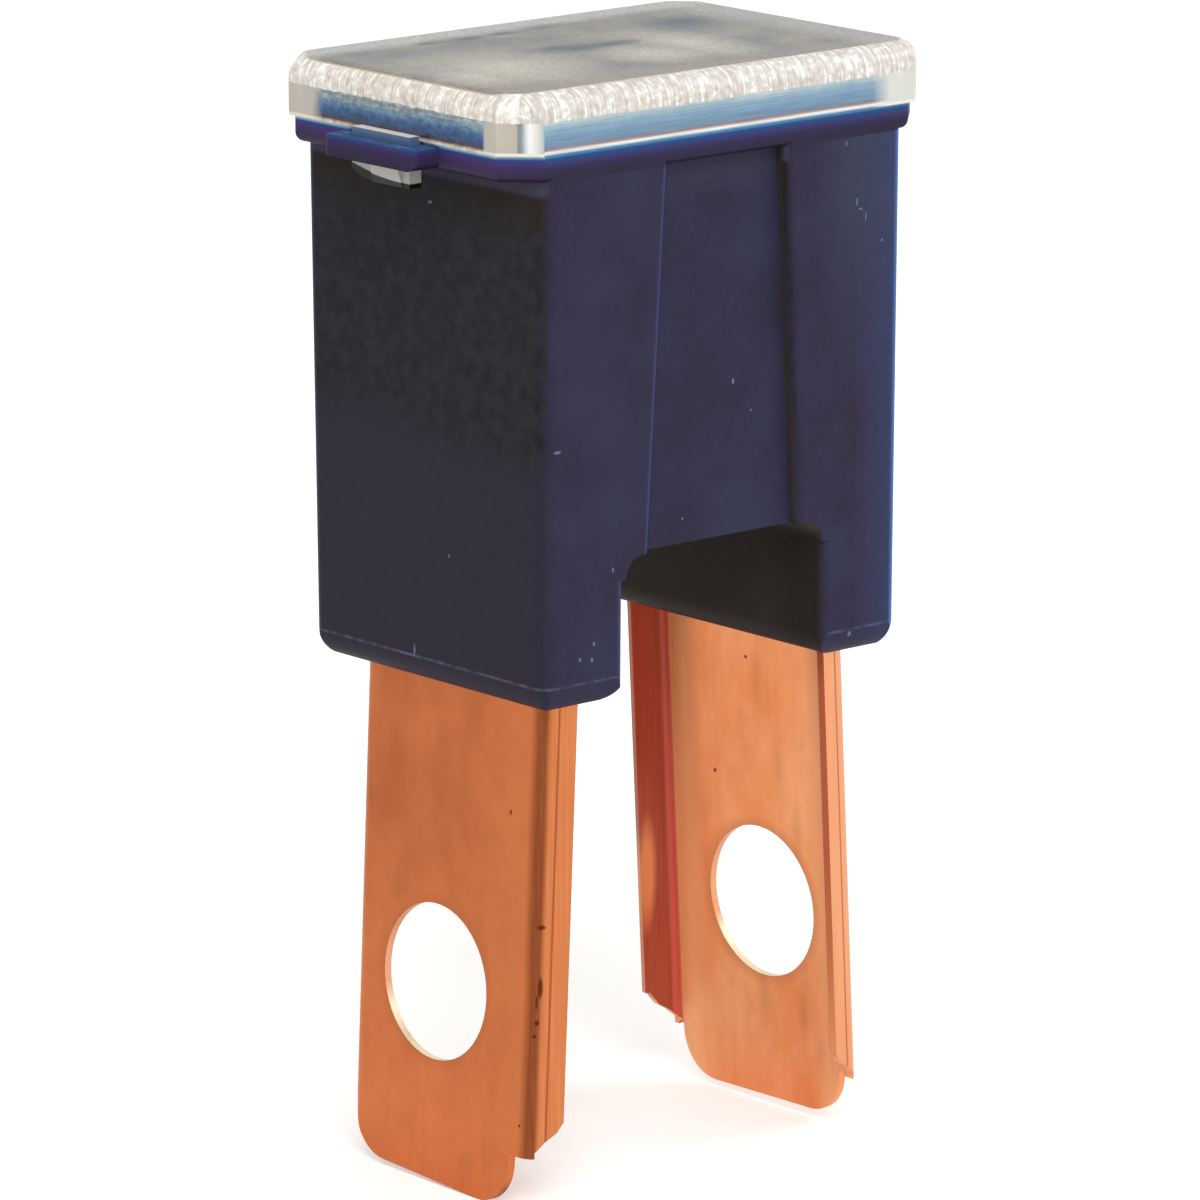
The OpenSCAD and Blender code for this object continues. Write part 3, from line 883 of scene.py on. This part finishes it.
@dataclass(frozen=True)
class RolledCopper(Finish):
    """Rolled copper sheet, stamped and folded: a warm satin metal with long rolling lines, a
    painted dark reflection along the bends, painted deep red reflections where the inner faces
    mirror one another, painted light beside the back lip and in the holes, with stains and specks."""

    web_x: float = 8.125
    leg_end: float = 21.14
    splay_slope: float = 0.04716
    wear_roughness: Span = (0.27, 0.42)
    middle_x: Span = (-1.0, 1.0)
    right_x: Span = (0.0, 1.0)
    lip_y: Span = (5.0, 5.2)
    inner_y: Span = (4.4, 4.7)
    crook_y: Span = (3.2, 4.3)
    free_edge_depth: Span = (-1.38, -1.46)
    seam_depth: float = 0.78
    seam_half: Span = (0.07, 0.02)
    free_z: Span = (3.5, 12.0)
    low_z: Span = (13.0, 3.0)
    right_low_z: Span = (10.0, 4.0)
    left_near_y: Span = (0.0, -4.2)
    across_y: Span = (4.8, -4.5)
    hole_foot_z: Span = (7.8, 6.9)
    halo: Point = (2.0, 3.8, 3.8)
    holes: tuple[Mark, ...] = ()
    specks: tuple[Mark, ...] = ()
    smears: tuple[Mark, ...] = ()
    glints: tuple[Mark, ...] = ()

    def sheet(self, tree: Tree, at: Coordinates) -> Socket:
        """Gives the colour of the flat sheet, a little different on the two terminals.

        Args:
            tree: the material's node tree.
            at: places on the part.

        Returns:
            The colour.
        """
        patches = at.noise((2.5, 2.5, 4.0), detail=5.0, roughness=0.6)

        def patched(dark: str, light: str) -> Socket:
            """Gives patches of two colours."""
            return ramp(tree, patches, [(0.35, dark), (0.65, light)])

        near = both(tree, at.rise(Axis.Y, *self.left_near_y), 0.5)
        low = at.rise(Axis.Z, *self.low_z)
        layers = [(low, patched("d67747", "e2824e")), (near, "e2834e")]
        left = layered(tree, patched("be683c", "cf7646"), layers)
        across = at.rise(Axis.Y, *self.across_y)
        low = at.rise(Axis.Z, *self.right_low_z)
        layers = [(across, patched("f89c62", "ffb27e")), (low, patched("fa9860", "ffad78"))]
        right = layered(tree, patched("e4834c", "f0945e"), layers)
        return blend_colour(tree, at.rise(Axis.X, *self.middle_x), left, right)

    def dress(self, tree: Tree, shader: Node, at: Coordinates) -> None:
        """Adds bends, inner faces, rolling lines, stains, specks and roughness.

        Args:
            tree: the material's node tree.
            shader: its surface shader.
            at: places on the part.
        """
        depth = grey(tree, "MULTIPLY_ADD", at.along(Axis.Z), self.splay_slope, at.away(Axis.X))
        depth = grey(tree, "SUBTRACT", depth, self.web_x + self.leg_end * self.splay_slope)
        streaks = at.noise((0.5, 0.5, 12.0), detail=4.0, roughness=0.6)
        # Rolling lines are about 0.02 mm apart; drawn at 0.1 mm so that they show
        lines = at.noise((0.1, 0.1, 9.0))
        lip = both(tree, at.square(Axis.Y, 0.6, 0.9), at.apart(Axis.Y, *self.lip_y))
        right_lip = both(tree, lip, at.rise(Axis.X, *self.right_x), 0.5)
        slant = grey(tree, "MULTIPLY", at.faces(Axis.X), at.faces(Axis.Y))
        # Painted dark reflection along the bends
        bend = both(
            tree,
            at.square(Axis.Y, 0.03, 0.5),
            at.square(Axis.Y, 0.94, 0.8),
            gate(tree, slant, 0.0, 0.03),
        )
        # Painted deep red reflections where the bends and inner faces mirror one another
        behind = both(tree, bend, at.leaving(Axis.Y, 0.0, -1.0))
        inner = both(tree, at.leaving(Axis.Y, -1.2, -3.0), at.apart(Axis.Y, *self.inner_y))
        inner_turn = both(tree, inner, at.square(Axis.X, 0.3, 0.6), 0.8)
        # Painted light: a bright column on the inner face beside the back lip
        lit_crook = both(tree, at.leaving(Axis.X, -1.0, -3.0), at.apart(Axis.Y, *self.crook_y))
        # The lip's free edge: its own darker cut face with a painted shadow beside it, lighter
        # towards the bottom
        free_edge_and_shadow = both(tree, gate(tree, depth, *self.free_edge_depth), at.square(Axis.X, 0.5, 0.8))
        free = ramp(tree, at.rise(Axis.Z, *self.free_z), [(0.0, "e08e5c"), (1.0, "b65a36")])
        off_seam = grey(tree, "ABSOLUTE", grey(tree, "ADD", depth, self.seam_depth))
        seam = both(tree, lip, gate(tree, off_seam, *self.seam_half), 0.7)
        wall = both(tree, at.square(Axis.X, 0.7, 0.4), at.spots(*self.holes, hard=0.02))
        # Painted highlight on the lower part of each hole's wall
        hole_highlight = both(tree, wall, at.rise(Axis.Z, *self.hole_foot_z))
        halo = at.spots(*(Mark(hole.place, self.halo) for hole in self.holes), hard=0.14)
        stain = at.noise((2.0, 2.0, 3.0), detail=5.0, roughness=0.6)
        lip_lines = ramp(tree, lines, [(0.35, "dc8450"), (0.5, "e28b56"), (0.66, "ea996c")])
        layers = [
            (ramp(tree, stain, [(0.55, 0.0), (0.72, 0.2)]), "a3572f"),
            (both(tree, lip, 0.6), lip_lines),
            (right_lip, "ffb78a"),
            (seam, "944726"),
            (both(tree, bend, 0.92), ramp(tree, lines, [(0.35, "84432a"), (0.65, "99522f")])),
            (both(tree, lit_crook, 0.95), "ffad72"),
            (behind, "cc4f3a"),
            (both(tree, inner, 0.95), ramp(tree, lines, [(0.3, "a54833"), (0.7, "b65541")])),
            (inner_turn, "d84c34"),
            (free_edge_and_shadow, free),
            (both(tree, halo, 0.4), "b9683f"),
            (wall, "f0a87c"),
            (hole_highlight, "ffe9c4"),
            (at.spots(*self.glints, hard=0.5), "ea935f"),
            (both(tree, at.spots(*self.smears, hard=0.9), 0.22), "a5744b"),
            (both(tree, at.spots(*self.specks), 0.85), "5a2616"),
        ]
        colour = layered(tree, self.sheet(tree, at), layers)
        tone = ramp(tree, streaks, [(0.3, 0.86), (0.7, 1.0)])
        colour = blend_colour(tree, 0.6, colour, tone, "MULTIPLY")
        tree.links.new(colour, shader.inputs["Base Color"])
        # Inner corners scatter light between their faces, so they look less like a mirror
        plain = most(tree, both(tree, lit_crook, 0.9), both(tree, wall, 0.7))
        tree.links.new(grey(tree, "SUBTRACT", 1.0, plain), shader.inputs["Metallic"])
        smooth, dull = self.wear_roughness
        wear = {0: streaks, 1: 0.3, 2: 0.7, 3: smooth, 4: dull}
        rough = add(tree, "ShaderNodeMapRange", wear).outputs[0]
        tree.links.new(rough, shader.inputs["Roughness"])
        rolled = bumped(tree, lines, depth_mm=0.004, edge_mm=0.06)
        tree.links.new(rolled, shader.inputs["Normal"])


@dataclass(frozen=True)
class CastTin(Finish):
    """Tin, melted on to the strip: a dull grey metal with a soft uneven skin."""

    def dress(self, tree: Tree, shader: Node, at: Coordinates) -> None:
        """Adds an uneven dull skin.

        Args:
            tree: the material's node tree.
            shader: its surface shader.
            at: places on the part.
        """
        shader.inputs["Metallic"].default_value = 1.0
        colour = ramp(tree, at.noise(0.4), [(0.3, "a9a8a3"), (0.7, "c9c7c0")])
        tree.links.new(colour, shader.inputs["Base Color"])
        skin = bumped(tree, at.noise(0.3), depth_mm=0.02, edge_mm=0.08)
        tree.links.new(skin, shader.inputs["Normal"])


# ---- Sub-assemblies --------------------------------------------------------------------------


@dataclass
class Dressed:
    """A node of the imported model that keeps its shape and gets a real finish."""

    node: str
    slot: str
    finish: Finish

    def dress(self) -> bpy.types.Object:
        """Sets the material.

        Returns:
            The dressed object.
        """
        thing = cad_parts[self.node]
        thing.data.materials.clear()
        thing.data.materials.append(self.finish.build())
        for face in thing.data.polygons:
            face.material_index = 0
        return thing


def on_front(*marks: tuple[float, float, float, float, float]) -> tuple[Mark, ...]:
    """Makes marks on a wide face from X, Y, Z and half sizes along X and Z."""
    reach_y = 0.2
    return tuple(Mark((x, y, z), (half_x, reach_y, half_z)) for x, y, z, half_x, half_z in marks)


def on_top(*marks: tuple[float, float, float, float]) -> tuple[Mark, ...]:
    """Makes marks on the cover's top from X, Y and half sizes along X and Y."""
    top_z, reach_z = 46.0, 1.0
    return tuple(Mark((x, y, top_z), (half_x, half_y, reach_z)) for x, y, half_x, half_y in marks)


@dataclass
class Housing(Dressed):
    """The moulded body with its legs, flange, rim and latch loops."""

    node: str = "housing"
    slot: str = "housing_plastic"
    finish: Finish = MouldedPolyester(
        "pbt_moulded_violet_black",
        roughness=0.45,
        nicks=on_front(
            (-8.83, -7.46, 31.72, 0.22, 0.07),
            (-3.9, -7.4, 27.5, 0.14, 0.2),
            (-5.92, -7.39, 26.55, 0.06, 0.13),
            (0.89, -6.84, 33.19, 0.08, 0.14),
            (1.85, -6.84, 31.88, 0.06, 0.06),
            (-1.79, -6.84, 27.94, 0.06, 0.06),
            (6.89, -7.56, 39.85, 0.05, 0.2),
            (7.1, -7.56, 39.55, 0.12, 0.05),
            (7.38, -7.55, 39.2, 0.04, 0.22),
            (8.28, -7.54, 38.12, 0.06, 0.08),
            (6.28, -7.6, 42.3, 0.05, 0.12),
            (6.83, -7.34, 21.94, 0.12, 0.15),
            (-6.89, -7.36, 23.68, 0.08, 0.1),
            (-7.61, -7.35, 23.14, 0.08, 0.1),
            (-6.99, -7.35, 23.04, 0.09, 0.1),
        )
        + (
            Mark((-9.47, -0.44, 40.84), (0.2, 0.16, 0.07)),
            Mark((-9.47, -1.48, 26.64), (0.2, 0.06, 0.1)),
            Mark((-9.47, 0.75, 22.4), (0.2, 0.07, 0.28)),
        ),
    )


@dataclass
class Cover(Dressed):
    """The clear cap with its snap tabs."""

    node: str = "cover"
    slot: str = "cover_plastic"
    finish: Finish = ClearPolycarbonate(
        "polycarbonate_moulded_clear",
        roughness=0.04,
        stains=on_top(
            (-1.9, 0.6, 1.3, 0.9),
            (-1.2, 0.2, 1.9, 1.1),
            (0.3, 0.1, 2.0, 0.8),
            (-5.1, 5.1, 0.9, 0.5),
            (-3.1, 4.9, 1.0, 0.6),
            (-1.2, 5.0, 1.0, 0.5),
            (1.0, 5.4, 1.3, 0.8),
            (6.2, 2.4, 2.2, 1.8),
        ),
        worn=on_top(
            (-6.6, -1.9, 4.2, 5.0),
            (-6.2, -1.4, 3.2, 3.4),
            (-8.8, -2.4, 2.2, 3.2),
            (3.0, -1.9, 2.3, 4.6),
            (0.3, -2.8, 2.6, 3.0),
        ),
    )


@dataclass
class FuseElement(Dressed):
    """The folded copper strip with both terminals."""

    node: str = "fuse_element"
    slot: str = "copper"
    finish: Finish = RolledCopper(
        "copper_rolled_sheet",
        roughness=0.34,
        holes=(
            Mark((-8.56, 0.5, 8.43), (2.0, 3.4, 3.4)),
            Mark((8.54, -0.2, 8.93), (2.0, 3.4, 3.4)),
        ),
        specks=(
            Mark((-8.35, -3.91, 16.35), (0.4, 0.08, 0.14)),
            Mark((-8.23, -5.64, 11.9), (0.3, 0.14, 0.12)),
            Mark((-8.35, -5.66, 9.4), (0.3, 0.07, 0.55)),
            Mark((-8.36, -5.58, 8.8), (0.3, 0.04, 0.4)),
            Mark((-8.42, -5.6, 7.96), (0.3, 0.08, 0.14)),
            Mark((-8.45, -5.55, 7.4), (0.3, 0.08, 0.1)),
            Mark((-8.9, -5.05, 3.63), (0.4, 0.09, 0.08)),
            Mark((7.9, 0.29, 19.43), (0.4, 0.12, 0.1)),
            Mark((8.14, 2.5, 14.09), (0.4, 0.12, 0.12)),
        ),
        smears=(
            Mark((7.95, -0.3, 18.3), (0.6, 0.45, 2.2)),
            Mark((8.08, -1.5, 15.2), (0.6, 0.5, 2.4)),
            Mark((8.2, -2.6, 12.2), (0.6, 0.45, 2.2)),
            Mark((8.57, -2.6, 4.4), (0.6, 0.4, 1.6)),
            Mark((8.66, -3.6, 2.9), (0.6, 0.45, 1.4)),
            Mark((8.59, -0.2, 4.6), (0.6, 0.7, 1.5)),
        ),
        glints=(Mark((7.1, 5.9, 9.1), (0.5, 1.2, 2.9)),),
    )


@dataclass
class TinPellet(Dressed):
    """The pellet of tin on the neck of the strip."""

    node: str = "tin_pellet"
    slot: str = "tin"
    finish: Finish = CastTin("tin_cast_dull", roughness=0.4)


# ---- Studio ----------------------------------------------------------------------------------


@dataclass(frozen=True)
class Lamp:
    """One soft square lamp: its name, place and side in metres, and its power."""

    name: str
    place: Point
    side: float
    watts: float


@dataclass
class Studio:
    """Pale floor, soft lamps and the camera."""

    azimuth: float = -40.396
    elevation: float = 13.184
    roll: float = -0.134
    distance_mm: Point = (0.239, -1.815, 330.54)
    lens_mm: float = 242.25
    sensor_mm: float = 36.0
    clip_m: Span = (0.01, 50.0)
    rise_mm: float = 21.25
    floor_half_m: float = 6.0
    floor_glow: float = 0.25
    sky: float = 0.7
    aim_m: Point = (0.0, 0.0, 0.022)
    lamps: tuple[Lamp, ...] = (
        Lamp("key_lamp", (-0.35, -0.55, 0.7), side=0.5, watts=5.0),
        Lamp("fill_lamp", (0.7, -0.3, 0.45), side=0.5, watts=2.5),
    )

    def camera(self) -> None:
        """Places the camera."""
        az, el, roll = (math.radians(a) for a in (self.azimuth, self.elevation, self.roll))
        back = Vector((math.sin(az) * math.cos(el), -math.cos(az) * math.cos(el), math.sin(el)))
        level = (-back).cross(Vector((0, 0, 1))).normalized()
        upright = level.cross(-back)
        right = level * math.cos(roll) + upright * math.sin(roll)
        up = upright * math.cos(roll) - level * math.sin(roll)
        x, y, z = self.distance_mm
        place = (right * -x + up * -y + back * z + Vector((0, 0, self.rise_mm))) * MM
        lens = bpy.data.cameras.new("camera")
        lens.sensor_width = self.sensor_mm
        lens.lens = self.lens_mm
        lens.clip_start, lens.clip_end = self.clip_m
        camera = bpy.data.objects.new("camera", lens)
        turned = Matrix((right, up, back)).transposed().to_4x4()
        camera.matrix_world = Matrix.Translation(place) @ turned
        bpy.context.scene.collection.objects.link(camera)
        bpy.context.scene.camera = camera

    def floor(self) -> None:
        """Makes the pale floor: white to the camera, with the object's soft shadow on it."""
        half = self.floor_half_m
        mesh = bpy.data.meshes.new("floor")
        corners = [(-half, -half, 0), (half, -half, 0), (half, half, 0), (-half, half, 0)]
        mesh.from_pydata(corners, [], [(0, 1, 2, 3)])
        floor = bpy.data.objects.new("floor", mesh)
        bpy.context.scene.collection.objects.link(floor)
        material = bpy.data.materials.new("paper_matt_white")
        material.use_nodes = True
        tree = material.node_tree
        tree.nodes.clear()
        paper = add(tree, "ShaderNodeBsdfDiffuse", {"Color": linear("f0efec")})
        links = {"Color": linear("ffffff"), "Strength": self.floor_glow}
        glow = add(tree, "ShaderNodeEmission", links)
        seen = add(tree, "ShaderNodeLightPath").outputs["Is Camera Ray"]
        summed = add(tree, "ShaderNodeAddShader", {0: paper.outputs[0], 1: glow.outputs[0]})
        links = {0: seen, 1: paper.outputs[0], 2: summed.outputs[0]}
        mixed = add(tree, "ShaderNodeMixShader", links)
        add(tree, "ShaderNodeOutputMaterial", {0: mixed.outputs[0]})
        mesh.materials.append(material)

    def world(self) -> None:
        """Sets the soft light that comes from all round, and the white that the camera sees."""
        world = bpy.data.worlds.new("studio")
        bpy.context.scene.world = world
        world.use_nodes = True
        tree = world.node_tree
        tree.nodes.clear()
        path = add(tree, "ShaderNodeLightPath")
        seen = most(tree, path.outputs["Is Camera Ray"], path.outputs["Is Transmission Ray"])
        plain, white = (
            add(tree, "ShaderNodeBackground", {"Color": linear("ffffff"), "Strength": strength})
            for strength in (self.sky, 1.0)
        )
        links = {0: seen, 1: plain.outputs[0], 2: white.outputs[0]}
        mixed = add(tree, "ShaderNodeMixShader", links)
        add(tree, "ShaderNodeOutputWorld", {0: mixed.outputs[0]})

    def hang(self, lamp: Lamp) -> None:
        """Hangs one lamp so that it points at the part's middle and stays out of sight.

        Args:
            lamp: the lamp to hang.
        """
        light = bpy.data.lights.new(lamp.name, "AREA")
        light.energy, light.size = lamp.watts, lamp.side
        thing = bpy.data.objects.new(lamp.name, light)
        turn = (Vector(self.aim_m) - Vector(lamp.place)).to_track_quat("-Z", "Y")
        thing.matrix_world = Matrix.Translation(lamp.place) @ turn.to_matrix().to_4x4()
        thing.visible_camera = False
        bpy.context.scene.collection.objects.link(thing)

    def build(self) -> None:
        """Sets up the camera, floor, world and lamps."""
        self.camera()
        self.floor()
        self.world()
        for lamp in self.lamps:
            self.hang(lamp)
        bpy.context.scene.view_settings.view_transform = "Standard"


def main() -> None:
    """Builds the studio and dresses every piece, logging each one."""
    logging.basicConfig(level=logging.INFO, format="%(name)s: %(message)s")
    Studio().build()
    for part in (Housing(), Cover(), FuseElement(), TinPellet()):
        thing = part.dress()
        LOG.info("dressed %s with %s", thing.name, part.finish.name)


if __name__ == "__main__":
    main()
